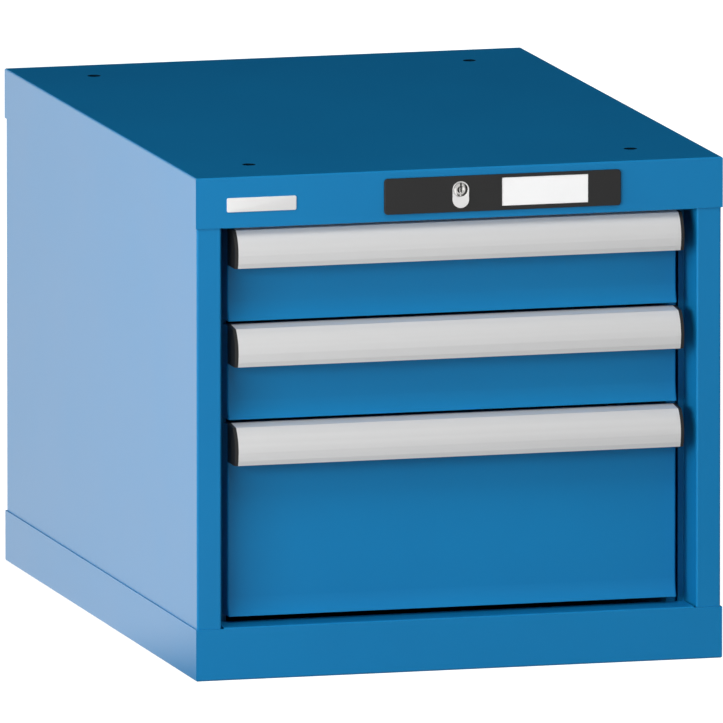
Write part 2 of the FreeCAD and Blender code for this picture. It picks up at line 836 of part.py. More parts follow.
def make_tray(level):
    """Drawer bottom, folded up into the wall that closes the back of the front panel."""
    body = new_body(f"tray_{level}")
    floor = zone_bottom[level] + s.tray_floor_rise
    path = [(tray_back, floor), (tray_front, floor), (tray_front, wall_top[level])]
    pad(body, "YZ_Plane", 0, s.usable_width, [folded(path, s.drawer_sheet)], way="both")
    plate = rectangle(-half_front, zone_bottom[level] + s.front_bottom_gap,
                      half_front, zone_top[level] - s.front_top_gap)
    pad(body, "XZ_Plane", -pan_back, s.drawer_sheet, [plate], way="against")
    keep(body, f"tray_{level}")


def wall_profile(face, level):
    """An upright wall with its top edge folded outward."""
    foot = zone_bottom[level] + s.tray_floor_rise - s.drawer_sheet
    shoulder = wall_top[level] - s.drawer_sheet
    return folded([(face, foot), (face, shoulder), (face + s.tray_hem, shoulder)], s.drawer_sheet)


def slot_ends(level):
    low = zone_bottom[level] + s.rail_rise + rail_half_height + s.slot_margin
    return low, wall_top[level] - s.tray_hem - s.drawer_sheet


def make_side_walls(level):
    body = new_body(f"side_wall_{level}")
    pad(body, "XZ_Plane", -tray_front, back_wall_rear - tray_front,
        [wall_profile(drawer_rail_in, level)], way="against")
    low, high = slot_ends(level)
    middle = tray_front + s.slot_pitch
    slot = rectangle(middle - s.slot_width / 2, low, middle + s.slot_width / 2, high)
    cut = pocket(body, "YZ_Plane", half_inside - s.drawer_sheet, s.drawer_sheet * 2, [slot], way="normal")
    count = int(s.usable_depth.value / s.slot_pitch.value) - 1
    repeated(body, cut, "Y_Axis", s.slot_pitch, count)
    keep_pair(body, f"side_walls_{level}")


def make_back_wall(level):
    body = new_body(f"back_wall_{level}")
    pad(body, "YZ_Plane", 0, s.usable_width, [wall_profile(back_wall_rear, level)], way="both")
    low, high = slot_ends(level)
    middle = s.slot_pitch - half_inside
    slot = rectangle(middle - s.slot_width / 2, low, middle + s.slot_width / 2, high)
    cut = pocket(body, "XZ_Plane", -(tray_back - s.drawer_sheet), s.drawer_sheet * 2, [slot], way="against")
    count = int(s.usable_width.value / s.slot_pitch.value) - 1
    repeated(body, cut, "X_Axis", s.slot_pitch, count)
    keep(body, f"back_wall_{level}")


def make_drawer_rails(level):
    body = new_body(f"drawer_rail_{level}")
    middle = zone_bottom[level] + s.rail_rise
    reach = rail_half_height
    path = [(drawer_rail_out, middle + reach), (drawer_rail_in, middle + reach),
            (drawer_rail_in, middle - reach), (drawer_rail_out, middle - reach)]
    pad(body, "XZ_Plane", -tray_front, drawer_rail_rear - tray_front,
        [folded(path, s.rail_sheet)], way="against")
    keep_pair(body, f"drawer_rails_{level}")


def make_catch(level):
    """Bracket on the back wall; the locking bar's finger rises through its hole."""
    body = new_body(f"lock_catch_{level}")
    low = catch_z[level]
    path = [(back_wall_rear, low + s.catch_foot), (back_wall_rear, low), (bar_front - s.catch_rear_gap, low)]
    pad(body, "YZ_Plane", bar_x, s.catch_width, [folded(path, s.catch_thickness)], way="both")
    half_hole = s.finger_width / 2 + s.catch_play
    hole = rectangle(bar_x - half_hole, finger_front - s.catch_play,
                     bar_x + half_hole, finger_front + s.finger_thickness + s.catch_play)
    pocket(body, "XY_Plane", low - s.catch_thickness, s.catch_thickness * 3, [hole], way="normal")
    keep(body, f"lock_catch_{level}")


# Carriages and rollers


def make_carriages(level):
    """Cage plates that run half as far as the drawer; each holds three rollers in windows."""
    body = new_body(f"carriage_{level}")
    middle = zone_bottom[level] + s.rail_rise
    outline = rectangle(station_y["front"] - s.cage_end, middle - s.cage_half_height,
                        station_y["rear"] + s.cage_end, middle + s.cage_half_height)
    half_window = s.roller_radius + s.cage_clearance
    windows = [rectangle(place - half_window, middle - half_window, place + half_window, middle + half_window)
               for place in station_y.values()]
    for before, after in (("front", "middle"), ("middle", "rear")):
        windows.append(rectangle(station_y[before] + s.cage_slot_margin, middle - s.cage_slot_height / 2,
                                 station_y[after] - s.cage_slot_margin, middle + s.cage_slot_height / 2))
    pad(body, "YZ_Plane", plate_in, s.cage_plate, [outline] + windows)
    keep_pair(body, f"carriages_{level}")


def make_rollers(level, station):
    """Rollers that roll on the cabinet's rails and carry the drawer's rails, held by the cage."""
    body = new_body(f"roller_{station}_{level}")
    inner_end = drawer_rail_web + s.roller_web_gap
    if station == "front":
        # The front roller runs out past the upright, so it ends short of the upright's lip
        outer_end = upright_out - s.upright_lip - s.roller_lip_gap
    else:
        outer_end = cabinet_rail_web - s.roller_web_gap
    turned(body, "XZ_Plane", zone_bottom[level] + s.rail_rise, -station_y[station],
           [(inner_end, outer_end, s.roller_radius)])
    keep_pair(body, f"rollers_{station}_{level}")


rail_half_height = s.roller_radius + s.roller_clearance + s.rail_sheet
handle_half = half_front - s.end_cap_thickness
wall_top = {level: zone_top[level] - s.tray_wall_drop for level in LEVELS}

core_bore = s.core_radius + s.core_clearance
core_back = s.core_length
cylinder_half = core_bore + s.cylinder_wall
bar_back = back_panel_front - s.bar_setback
bar_front = bar_back - s.bar_thickness
crank_front = bar_front - s.crank_gap - s.crank_thickness
finger_front = bar_front - s.finger_offset - s.finger_thickness
pin_x = -(s.crank_radius * cosine(s.crank_angle))
pin_z = core_z - s.crank_radius * sine(s.crank_angle)
bar_x = (pin_x - s.crank_radius) / 2
guide_heights = [zone_bottom["bottom"] + s.guide_bottom_rise, core_z - s.guide_top_drop]
catch_z = {level: zone_bottom[level] + s.catch_rise for level in LEVELS}

label_outline = rectangle(s.label_left, strip_top - s.label_top_gap - s.label_height,
                          s.label_left + s.label_length, strip_top - s.label_top_gap)
escutcheon_top = strip_top - s.escutcheon_top_gap
escutcheon_outline = upright_slot(as_size(0), escutcheon_top - s.escutcheon_height, escutcheon_top,
                                  s.escutcheon_width / 2)

make_side_panels()
make_back_panel()
make_top_cover()
make_base_tray()
make_uprights("front")
make_uprights("rear")
make_lock_cover()
make_label_card()
make_escutcheon()
make_lock_cylinder()
make_lock_core()
make_torsion_rod()
make_rod_bracket()
make_lock_crank()
make_locking_bar()
make_bar_guides()
for level in LEVELS:
    make_cabinet_rails(level)
    make_front_panel(level)
    make_handle(level)
    make_end_caps(level)
    make_tray(level)
    make_side_walls(level)
    make_back_wall(level)
    make_drawer_rails(level)
    make_catch(level)
    make_carriages(level)
    for station in STATIONS:
        make_rollers(level, station)
doc.recompute()

faults = [f"{item.Name}: {item.State}" for item in doc.Objects
          if "Invalid" in item.State or "Error" in item.State]
for name, obj in nodes:
    if obj.Shape.isNull() or not obj.Shape.isValid() or not obj.Shape.Solids:
        faults.append(f"{name}: no valid solid")
if faults:
    raise RuntimeError("The model has faults: " + "; ".join(faults))

os.makedirs("parts", exist_ok=True)
for name, obj in nodes:
    obj.Shape.exportStep(f"parts/{name}.step")
print(f"{len(nodes)} sub-parts written")
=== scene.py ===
import json
import math

import bmesh
import bpy
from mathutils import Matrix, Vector


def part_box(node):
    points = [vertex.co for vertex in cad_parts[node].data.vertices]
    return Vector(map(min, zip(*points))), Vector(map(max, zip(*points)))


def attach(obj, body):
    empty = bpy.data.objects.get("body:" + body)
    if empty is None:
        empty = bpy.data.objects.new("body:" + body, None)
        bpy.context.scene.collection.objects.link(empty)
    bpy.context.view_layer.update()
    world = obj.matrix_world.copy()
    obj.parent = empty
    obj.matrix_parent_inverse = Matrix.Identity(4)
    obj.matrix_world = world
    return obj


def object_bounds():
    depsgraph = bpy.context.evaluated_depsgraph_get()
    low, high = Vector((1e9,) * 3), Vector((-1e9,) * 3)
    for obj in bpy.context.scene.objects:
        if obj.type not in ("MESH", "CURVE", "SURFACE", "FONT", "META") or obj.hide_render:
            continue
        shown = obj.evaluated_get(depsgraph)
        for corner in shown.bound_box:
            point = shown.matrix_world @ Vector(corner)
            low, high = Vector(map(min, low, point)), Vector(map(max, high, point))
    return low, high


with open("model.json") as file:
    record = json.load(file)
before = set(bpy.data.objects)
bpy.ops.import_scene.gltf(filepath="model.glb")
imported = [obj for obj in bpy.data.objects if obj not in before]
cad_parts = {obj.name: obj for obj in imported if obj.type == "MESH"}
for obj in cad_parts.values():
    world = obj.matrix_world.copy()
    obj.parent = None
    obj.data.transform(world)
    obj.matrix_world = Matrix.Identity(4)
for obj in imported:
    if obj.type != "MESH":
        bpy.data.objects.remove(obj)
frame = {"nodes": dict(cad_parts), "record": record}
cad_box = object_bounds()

record = frame["record"]
MM = 0.001
LEVELS = ("top", "middle", "bottom")
FIXING_HOLES = next(mount for mount in record["mounts"] if mount["name"] == "top_bolts")

# Colours, linear
PAINT_BLUE = (0.006, 0.202, 0.460, 1)
PAINT_BLUE_DEEP = (0.006, 0.192, 0.443, 1)
ZINC_LIGHT = (0.50, 0.52, 0.54, 1)
ZINC_DARK = (0.36, 0.375, 0.39, 1)
GRIP_LIGHT = (0.83, 0.83, 0.83, 1)
GRIP_DARK = (0.80, 0.80, 0.80, 1)
MOULDED_BLACK = (0.018, 0.018, 0.018, 1)
MOULDED_BLACK_WORN = (0.030, 0.030, 0.030, 1)
MOULDED_WHITE = (0.83, 0.825, 0.82, 1)
MOULDED_WHITE_SHADE = (0.80, 0.795, 0.79, 1)
CARD_WHITE = (1.0, 1.0, 1.0, 1)
CARD_SHADE = (0.98, 0.98, 0.98, 1)
NICKEL_LIGHT = (0.84, 0.83, 0.81, 1)
NICKEL_DARK = (0.74, 0.73, 0.71, 1)
# Painted shade: near black for the inside of the keyway, where shade falls
KEYWAY_SHADE = (0.01, 0.01, 0.01, 1)
# Painted shade: near black for the fixing holes' walls, where shade falls
HOLE_WALL_SHADE = (0.002, 0.010, 0.020, 1)
ACETAL = (0.72, 0.71, 0.66, 1)
ACETAL_RUBBED = (0.55, 0.54, 0.50, 1)
WHITE = (1, 1, 1, 1)

# Grain of the materials: coarse pebbles and wide lines, as a share of the fine ones' number
COARSE_PEBBLES = 0.31
WIDE_LINES = 0.22

# Where the masks of the materials fade in: the painted shade on the fixing holes' walls outside their radius
# and down from
#  the top face, the painted shade in the keyway from its middle and from the front, and by how far an edge's
#  rounded normal has turned
HOLE_WALL_FADE = (0.03 * MM, 0.01 * MM)
HOLE_WALL_DEPTH = 10 * MM
KEYWAY_SHADE_ASIDE = (0.66 * MM, 0.64 * MM)
KEYWAY_SHADE_DEPTHS = (0.5 * MM, 1.2 * MM)
EDGE_TURN = (0.01, 0.12)

# The floor: its colour under the lamps and in a reflection, how bright it looks to the camera, and how bright
# each area of it is in a reflection, with where that area fades in. Behind is the way back from the
# cabinet's front in metres. Ahead is the way forwards from a line just before it, also in metres, and aside
# is the way to the right as a share of the way ahead.
FLOOR_SIZE = 30.0
FLOOR_LIT = (0.44, 0.44, 0.44, 1)
FLOOR_MIRRORED = (0.08, 0.08, 0.08, 1)
FLOOR_SEEN = 0.90
FLOOR_LINE_AHEAD = 0.05
FLOOR_LEAST_AHEAD = 0.05
FLOOR_BACK = 1.22
FLOOR_BACK_BEHIND = (-0.1, 0.3)
FLOOR_LEFT = 1.0
FLOOR_LEFT_ASIDE = (0.0, -0.12)
FLOOR_LEFT_AHEAD = (0.08, 0.4)
FLOOR_FRONT = 0.65
FLOOR_FRONT_ASIDE = (0.6, 0.4)
FLOOR_FRONT_AHEAD = (0.3, 1.2)
FLOOR_NEAR = 0.28
FLOOR_NEAR_AHEAD = (0.2, 0.36)

# The room: how bright each side of it is in a reflection, and the parts of a direction between which that
# side fades in: X to the right, Y to the back, Z upwards
ROOM_LOW = 0.65
ROOM_HIGH = 0.45
ROOM_HEIGHT_Z = (0.1, 0.7)
ROOM_FRONT_Y = (0.2, -0.4)
ROOM_RIGHT_X = (0.35, 0.65)
ROOM_LEFT = 1.0
ROOM_LEFT_X = (-0.05, -0.25)
ROOM_LEFT_Y = (0.0, 0.5)
ROOM_LEFT_FRONT_SHARE = 0.3
ROOM_FILL = 0.20

# Lamps: azimuth and elevation in degrees, width and height in metres, power in watts
LAMP_DISTANCE = 3.5
LAMPS = {
    "left_side_lamp": (-80, 9, 2.4, 1.2, 31.0),
    "left_front_lamp": (-50, 11, 2.4, 1.2, 84.0),
    "front_high_lamp": (-8, 57, 1.8, 1.4, 43.0),
    "right_fill_lamp": (68, 12, 2.4, 1.2, 12.0),
    "right_back_lamp": (135, 8, 2.4, 1.2, 44.0),
}

# The camera
CAMERA_AZIMUTH = -15.19
CAMERA_ELEVATION = 9.19
CAMERA_LENS = 1600.0
CAMERA_SENSOR = 36.0
CAMERA_DISTANCE = 24.158
CAMERA_REACH = 100.0
CAMERA_TARGET = (-0.0767, -0.28375, 0.2387)

# Places and sizes of the modelled pieces, in the cabinet's own frame
SAME_PLACE = 1e-6
SMOOTH_ANGLE = 35
FOREMOST = cad_box[0].y
FRONT_BAND = FOREMOST + 3.0 * MM

BADGE_LEFT, BADGE_RIGHT = -181.4 * MM, -127.5 * MM
BADGE_LOW, BADGE_HIGH = 356.4 * MM, 367.2 * MM
BADGE_THICK = 0.8 * MM
BADGE_CORNER = 1.2 * MM
BADGE_CORNER_STEPS = 6
BADGE_EDGE = 0.25 * MM
BADGE_EDGE_STEPS = 3

# The lock's face and the rivet heads are discs. Each ring of them is an inset and a step outwards, in mm.
LOCK_POINTS = 64
LOCK_AXIS_HEIGHT = 366.7 * MM
LOCK_FACE_BACK = FOREMOST + 0.8 * MM
LOCK_FACE_RADIUS = 5.3 * MM
LOCK_DOME = [(0.25, 0.09), (0.5, 0.13), (0.6, 0.13), (0.6, 0.09), (0.5, 0.02)]
LOCK_DISH = [(0.3, -0.1), (0.5, -0.18), (0.6, -0.14), (0.6, -0.05)]
LOCK_RIM = 0.33 * MM
LOCK_CREST = LOCK_RIM + sum(outward for inset, outward in LOCK_DOME) * MM
LOCK_RIB_WIDTH, LOCK_RIB_HEIGHT = 1.9 * MM, 10.2 * MM
LOCK_RIB_ROUND = 0.4 * LOCK_RIB_WIDTH
LOCK_RIB_STEPS = 4
LOCK_SMOOTH_ANGLE = 40
KEYWAY_WIDTH, KEYWAY_HEIGHT = 1.1 * MM, 6.8 * MM
KEYWAY_CUTTER = 4 * MM
KEYWAY_RAISED = 1.7 * MM

RIVET_POINTS = 24
RIVET_RADIUS = 2.6 * MM
RIVET_EDGE = 0.15 * MM
RIVET_DOME = [(0.3, 0.3), (0.5, 0.25), (0.5, 0.12), (0.3, 0.0), (0.15, -0.35)]
RIVETS_PER_RAIL = 5
RIVET_INSET = 18 * MM

# The Mix node's colour sockets share their names with its other ones, so they are taken by number
MIX_FIRST, MIX_SECOND, MIX_RESULT = 6, 7, 2


def feed(tree, socket, value):
    """Links a socket to another node's value, or sets a plain one."""
    if isinstance(value, bpy.types.NodeSocket):
        tree.links.new(value, socket)
    else:
        socket.default_value = value


def node(tree, kind, inputs=None, **settings):
    """A node with its settings, and with its inputs by name or number."""
    made = tree.nodes.new(kind)
    for key, value in settings.items():
        setattr(made, key, value)
    for key, value in (inputs or {}).items():
        feed(tree, made.inputs[key], value)
    return made


def maths(tree, operation, *values):
    """What a Math node makes of one or two values."""
    return node(tree, "ShaderNodeMath", dict(enumerate(values)), operation=operation).outputs[0]


def weighted(tree, *pairs):
    """The values added up, each times its share."""
    parts = [maths(tree, "MULTIPLY", value, share) for value, share in pairs]
    total = parts[0]
    for part in parts[1:]:
        total = maths(tree, "ADD", total, part)
    return total


def noise(tree, vector, scale, detail, roughness=0.5):
    inputs = {"Vector": vector, "Scale": scale, "Detail": detail, "Roughness": roughness}
    return node(tree, "ShaderNodeTexNoise", inputs).outputs["Fac"]


def ranged(tree, value, start, to=(0.0, 1.0), kind="SMOOTHSTEP"):
    """A value spread from the range it starts in to another, and held at the ends."""
    inputs = {"Value": value, "From Min": start[0], "From Max": start[1], "To Min": to[0], "To Max": to[1]}
    return node(tree, "ShaderNodeMapRange", inputs, interpolation_type=kind).outputs[0]


def place_on(tree, kind="Object"):
    """The place on a piece in metres, or another kind of coordinate."""
    return tree.nodes.new("ShaderNodeTexCoord").outputs[kind]


def axes_of(tree, vector):
    """The X, Y and Z of a vector."""
    return node(tree, "ShaderNodeSeparateXYZ", {"Vector": vector}).outputs


def new_group(name, inputs, outputs):
    """A shader node group with float inputs (name: value) and outputs (name: socket type)."""
    tree = bpy.data.node_groups.new(name, "ShaderNodeTree")
    for label, value in inputs.items():
        socket = tree.interface.new_socket(label, in_out="INPUT", socket_type="NodeSocketFloat")
        socket.default_value = value
    for label, kind in outputs.items():
        tree.interface.new_socket(label, in_out="OUTPUT", socket_type=kind)
    return tree, tree.nodes.new("NodeGroupInput").outputs, tree.nodes.new("NodeGroupOutput").inputs


def pebble_group():
    """Fine pebbled skin of powder coat or moulded plastic: a height, and a slow change of tone."""
    tree, given, out = new_group(
        "pebbled_skin", {"Pebbles per metre": 900.0, "Patches per metre": 9.0},
        {"Height": "NodeSocketFloat", "Tone": "NodeSocketFloat"})
    place = place_on(tree)
    fine = noise(tree, place, given["Pebbles per metre"], detail=1.0)
    coarse_pebbles = maths(tree, "MULTIPLY", given["Pebbles per metre"], COARSE_PEBBLES)
    coarse = noise(tree, place, coarse_pebbles, detail=0.0)
    feed(tree, out["Height"], weighted(tree, (fine, 0.6), (coarse, 0.4)))
    feed(tree, out["Tone"], noise(tree, place, given["Patches per metre"], detail=3.0, roughness=0.6))
    return tree


def drawn_lines_group():
    """Fine lines left by drawing or turning, along the axis with the fewest lines per metre."""
    tree, given, out = new_group(
        "drawn_lines", {"Lines per metre X": 2.0, "Lines per metre Y": 900.0, "Lines per metre Z": 900.0},
        {"Height": "NodeSocketFloat", "Tone": "NodeSocketFloat"})
    squeeze = node(tree, "ShaderNodeCombineXYZ", {axis: given[f"Lines per metre {axis}"] for axis in "XYZ"})
    scaled = node(
        tree, "ShaderNodeVectorMath", {0: place_on(tree), 1: squeeze.outputs[0]}, operation="MULTIPLY")
    feed(tree, out["Height"], noise(tree, scaled.outputs[0], 1.0, detail=3.0, roughness=0.7))
    feed(tree, out["Tone"], noise(tree, scaled.outputs[0], WIDE_LINES, detail=1.0))
    return tree


def soft_edges_group():
    """A normal that rounds the edges of sheet and extrusion by a small radius, and a mask of those edges."""
    tree, given, out = new_group(
        "soft_edges", {"Radius": 0.0005}, {"Normal": "NodeSocketVector", "Edge": "NodeSocketFloat"})
    rounded = node(tree, "ShaderNodeBevel", {"Radius": given["Radius"]}, samples=4).outputs["Normal"]
    feed(tree, out["Normal"], rounded)
    sharp = tree.nodes.new("ShaderNodeNewGeometry").outputs["Normal"]
    same = node(tree, "ShaderNodeVectorMath", {0: rounded, 1: sharp}, operation="DOT_PRODUCT")
    turned = maths(tree, "SUBTRACT", 1.0, same.outputs["Value"])
    feed(tree, out["Edge"], ranged(tree, turned, EDGE_TURN, kind="LINEAR"))
    return tree


def zinc_flowers_group():
    """Faint crystal flowers of zinc plating, as a tone."""
    tree, given, out = new_group("zinc_flowers", {"Flowers per metre": 160.0}, {"Tone": "NodeSocketFloat"})
    inputs = {"Vector": place_on(tree), "Scale": given["Flowers per metre"]}
    cells = node(tree, "ShaderNodeTexVoronoi", inputs).outputs["Color"]
    feed(tree, out["Tone"], node(tree, "ShaderNodeRGBToBW", {"Color": cells}).outputs[0])
    return tree


PEBBLES = pebble_group()
LINES = drawn_lines_group()
SOFT_EDGES = soft_edges_group()
FLOWERS = zinc_flowers_group()


def placed(tree, group, inputs=None):
    """The outputs of a shared effect placed in a material, with its own values."""
    return node(tree, "ShaderNodeGroup", inputs, node_tree=group).outputs


def new_material(name, plain):
    """A material with its Principled shader ready, and the plain values set on the shader's own sockets."""
    made = bpy.data.materials.new(name)
    made.use_nodes = True
    shader = made.node_tree.nodes["Principled BSDF"]
    for key, value in plain.items():
        shader.inputs[key].default_value = value
    return made, made.node_tree, shader


def two_tones(tree, mask, low, high, start=0.3, end=0.7):
    """A colour between two tones by a mask."""
    ramp = node(tree, "ShaderNodeValToRGB", {"Fac": mask})
    first, last = ramp.color_ramp.elements
    first.position, last.position = start, end
    first.color, last.color = low, high
    return ramp.outputs["Color"]


def darkened(tree, colour, mask, dark):
    """A colour that turns dark where the mask says."""
    inputs = {"Factor": mask, MIX_FIRST: colour, MIX_SECOND: dark}
    return node(tree, "ShaderNodeMix", inputs, data_type="RGBA").outputs[MIX_RESULT]


def paint(tree, shader, colour):
    """Gives the shader its base colour."""
    feed(tree, shader.inputs["Base Color"], colour)


def relief(tree, shader, height, depth, edges=None):
    """Bump of a height, over the rounded normal of the edges."""
    inputs = {"Height": height, "Distance": depth}
    if edges is not None:
        inputs["Normal"] = edges["Normal"]
    feed(tree, shader.inputs["Normal"], node(tree, "ShaderNodeBump", inputs).outputs["Normal"])


def vary_roughness(tree, shader, tone, by):
    """Roughness that a tone spreads to both sides of the shader's own value."""
    roughness = shader.inputs["Roughness"]
    middle = roughness.default_value
    feed(tree, roughness, ranged(tree, tone, (0.0, 1.0), (middle - by, middle + by), kind="LINEAR"))


def hole_wall_shade_mask(tree):
    """A mask of the walls of the four fixing holes in the top cover, where shade is painted near black over
    the coat.
    """
    place = axes_of(tree, place_on(tree))
    middle, sizes = FIXING_HOLES["pos_m"], FIXING_HOLES["dims"]
    rows = (("X", middle[0], sizes["spacing_x_mm"]), ("Y", middle[1], sizes["spacing_y_mm"]))
    squares = []
    for axis, centre, apart in rows:
        from_middle = maths(tree, "ABSOLUTE", maths(tree, "SUBTRACT", place[axis], centre))
        from_hole = maths(tree, "SUBTRACT", from_middle, apart / 2 * MM)
        squares.append(maths(tree, "POWER", from_hole, 2.0))
    away = maths(tree, "SQRT", maths(tree, "ADD", *squares))
    edge = sizes["hole_r_mm"] * MM
    near = ranged(tree, away, [edge + past for past in HOLE_WALL_FADE])
    high = maths(tree, "GREATER_THAN", place["Z"], middle[2] - HOLE_WALL_DEPTH)
    return maths(tree, "MULTIPLY", near, high)


def powder_coat_blue():
    """Satin powder coat with a fine pebbled skin and softly rounded folds, and painted shade near black
    inside the fixing holes.
    """
    made, tree, shader = new_material("powder_coat_blue", {
        "Roughness": 0.35, "Specular IOR Level": 0.1,
        "Coat Weight": 0.8, "Coat IOR": 1.3, "Coat Roughness": 0.3})
    skin = placed(tree, PEBBLES, {"Pebbles per metre": 1100.0})
    coat = two_tones(tree, skin["Tone"], PAINT_BLUE_DEEP, PAINT_BLUE)
    # Painted shade: the fixing holes' walls turn near black
    paint(tree, shader, darkened(tree, coat, hole_wall_shade_mask(tree), HOLE_WALL_SHADE))
    vary_roughness(tree, shader, skin["Tone"], by=0.04)
    relief(tree, shader, skin["Height"], 0.02 * MM, placed(tree, SOFT_EDGES, {"Radius": 0.15 * MM}))
    return made


def zinc_plate():
    """Zinc plated sheet: dull metal with faint crystal flowers and brighter rubbed edges."""
    made, tree, shader = new_material("zinc_plate", {"Roughness": 0.42, "Metallic": 1.0})
    flowers = placed(tree, FLOWERS)
    skin = placed(tree, PEBBLES, {"Pebbles per metre": 700.0, "Patches per metre": 22.0})
    edges = placed(tree, SOFT_EDGES, {"Radius": 0.3 * MM})
    tone = weighted(tree, (flowers["Tone"], 0.4), (skin["Tone"], 0.6), (edges["Edge"], 0.3))
    paint(tree, shader, two_tones(tree, tone, ZINC_DARK, ZINC_LIGHT, start=0.25, end=0.8))
    vary_roughness(tree, shader, tone, by=-0.08)
    relief(tree, shader, skin["Height"], 0.01 * MM, edges)
    return made


def anodised_grip():
    """Matt anodised extrusion, with fine lines along its length."""
    made, tree, shader = new_material("anodised_grip", {
        "Roughness": 0.60, "Metallic": 0.38, "Specular IOR Level": 0.3})
    lines = placed(tree, LINES)
    paint(tree, shader, two_tones(tree, lines["Tone"], GRIP_DARK, GRIP_LIGHT))
    vary_roughness(tree, shader, lines["Tone"], by=0.04)
    relief(tree, shader, lines["Height"], 0.006 * MM, placed(tree, SOFT_EDGES, {"Radius": 0.3 * MM}))
    return made


def moulded(name, body, worn, roughness, pebbles):
    """Moulded plastic with a spark-eroded skin and slightly paler edges."""
    made, tree, shader = new_material(name, {"Roughness": roughness})
    skin = placed(tree, PEBBLES, {"Pebbles per metre": pebbles, "Patches per metre": 30.0})
    edges = placed(tree, SOFT_EDGES, {"Radius": 0.4 * MM})
    tone = weighted(tree, (skin["Tone"], 0.5), (edges["Edge"], 0.35))
    paint(tree, shader, two_tones(tree, tone, body, worn, start=0.2, end=0.9))
    vary_roughness(tree, shader, skin["Tone"], by=0.06)
    relief(tree, shader, skin["Height"], 0.02 * MM, edges)
    return made


def moulded_black():
    """Black end caps and lock strip."""
    return moulded("moulded_black", MOULDED_BLACK, MOULDED_BLACK_WORN, roughness=0.5, pebbles=1500.0)


def moulded_white():
    """The blank badge plate."""
    return moulded("moulded_white", MOULDED_WHITE_SHADE, MOULDED_WHITE, roughness=0.45, pebbles=1800.0)


def label_card():
    """Plain white card with a faint fibre."""
    made, tree, shader = new_material("label_card", {"Roughness": 0.6, "Specular IOR Level": 0.3})
    skin = placed(tree, PEBBLES, {"Pebbles per metre": 2600.0, "Patches per metre": 60.0})
    paint(tree, shader, two_tones(tree, skin["Tone"], CARD_SHADE, CARD_WHITE))
    relief(tree, shader, skin["Height"], 0.01 * MM)
    return made


def nickel_plate():
    """Polished nickel with a few tarnished spots, and painted shade near black inside the keyway."""
    made, tree, shader = new_material("nickel_plate", {"Roughness": 0.095, "Metallic": 1.0})
    skin = placed(tree, PEBBLES, {"Pebbles per metre": 2000.0, "Patches per metre": 160.0})
    polish = two_tones(tree, skin["Tone"], NICKEL_DARK, NICKEL_LIGHT, start=0.2, end=0.5)
    place = axes_of(tree, place_on(tree))
    # Painted shade: the keyway's inside turns near black
    narrow = ranged(tree, maths(tree, "ABSOLUTE", place["X"]), KEYWAY_SHADE_ASIDE)
    deep = ranged(tree, place["Y"], [FOREMOST + depth for depth in KEYWAY_SHADE_DEPTHS])
    paint(tree, shader, darkened(tree, polish, maths(tree, "MULTIPLY", narrow, deep), KEYWAY_SHADE))
    vary_roughness(tree, shader, skin["Tone"], by=-0.025)
    relief(tree, shader, skin["Height"], 0.004 * MM, placed(tree, SOFT_EDGES, {"Radius": 0.2 * MM}))
    return made


def turned_acetal():
    """Smooth white roller plastic, rubbed grey in fine rings where it runs."""
    made, tree, shader = new_material("turned_acetal", {"Roughness": 0.34})
    lines = placed(tree, LINES, {
        "Lines per metre X": 1500.0, "Lines per metre Y": 20.0, "Lines per metre Z": 20.0})
    paint(tree, shader, two_tones(tree, lines["Tone"], ACETAL_RUBBED, ACETAL, start=0.25, end=0.6))
    relief(tree, shader, lines["Height"], 0.01 * MM, placed(tree, SOFT_EDGES, {"Radius": 0.4 * MM}))
    return made


FINISHES = {
    "blue_paint": powder_coat_blue(),
    "zinc_steel": zinc_plate(),
    "grip_aluminium": anodised_grip(),
    "black_plastic": moulded_black(),
    "light_plastic": moulded_white(),
    "label_paper": label_card(),
    "nickel": nickel_plate(),
    "roller_plastic": turned_acetal(),
}


def finish_nodes():
    """Every CAD node takes the finish of its material slot."""
    slot_of = {part["node"]: part["material_slot"] for part in record["subparts"]}
    for name, piece in frame["nodes"].items():
        for place in piece.material_slots:
            place.material = FINISHES[slot_of[name]]


def start_fresh():
    """Nothing selected, in object mode."""
    if bpy.context.object and bpy.context.object.mode != "OBJECT":
        bpy.ops.object.mode_set(mode="OBJECT")
    bpy.ops.object.select_all(action="DESELECT")


def take_up(made):
    """Only this piece selected and active, in object mode."""
    start_fresh()
    made.select_set(True)
    bpy.context.view_layer.objects.active = made


def settle(made, name, body, slot, smooth=SMOOTH_ANGLE):
    """Names a modelled piece, smooths it, and gives it its finish and the body that it rides on.

    Its place and turn go into its mesh.
    """
    take_up(made)
    bpy.ops.object.transform_apply(location=True, rotation=True, scale=True)
    bpy.ops.object.shade_smooth_by_angle(angle=math.radians(smooth))
    made.name = name
    made.data.name = name
    made.data.materials.clear()
    made.data.materials.append(FINISHES[slot])
    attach(made, body)
    return made


def select_edges(made, chosen):
    """Selects the edges that chosen(first, second) takes, in edit mode, and only those."""
    bpy.ops.mesh.select_mode(type="EDGE")
    bpy.ops.mesh.select_all(action="DESELECT")
    mesh = bmesh.from_edit_mesh(made.data)
    for edge in mesh.edges:
        edge.select_set(chosen(edge.verts[0].co, edge.verts[1].co))
    bmesh.update_edit_mesh(made.data)


def round_front_edges(made, front, width, steps):
    """Rounds the edges that lie in the front face, in edit mode."""
    select_edges(made, lambda a, b: abs(a.y - front) < SAME_PLACE and abs(b.y - front) < SAME_PLACE)
    bpy.ops.mesh.bevel(offset=width, segments=steps, affect="EDGES")


def block(middle, size):
    """A plain block to be shaped or cut with."""
    start_fresh()
    bpy.ops.mesh.primitive_cube_add(size=1, location=middle, scale=size)
    made = bpy.context.object
    bpy.ops.object.transform_apply(location=True, rotation=True, scale=True)
    return made


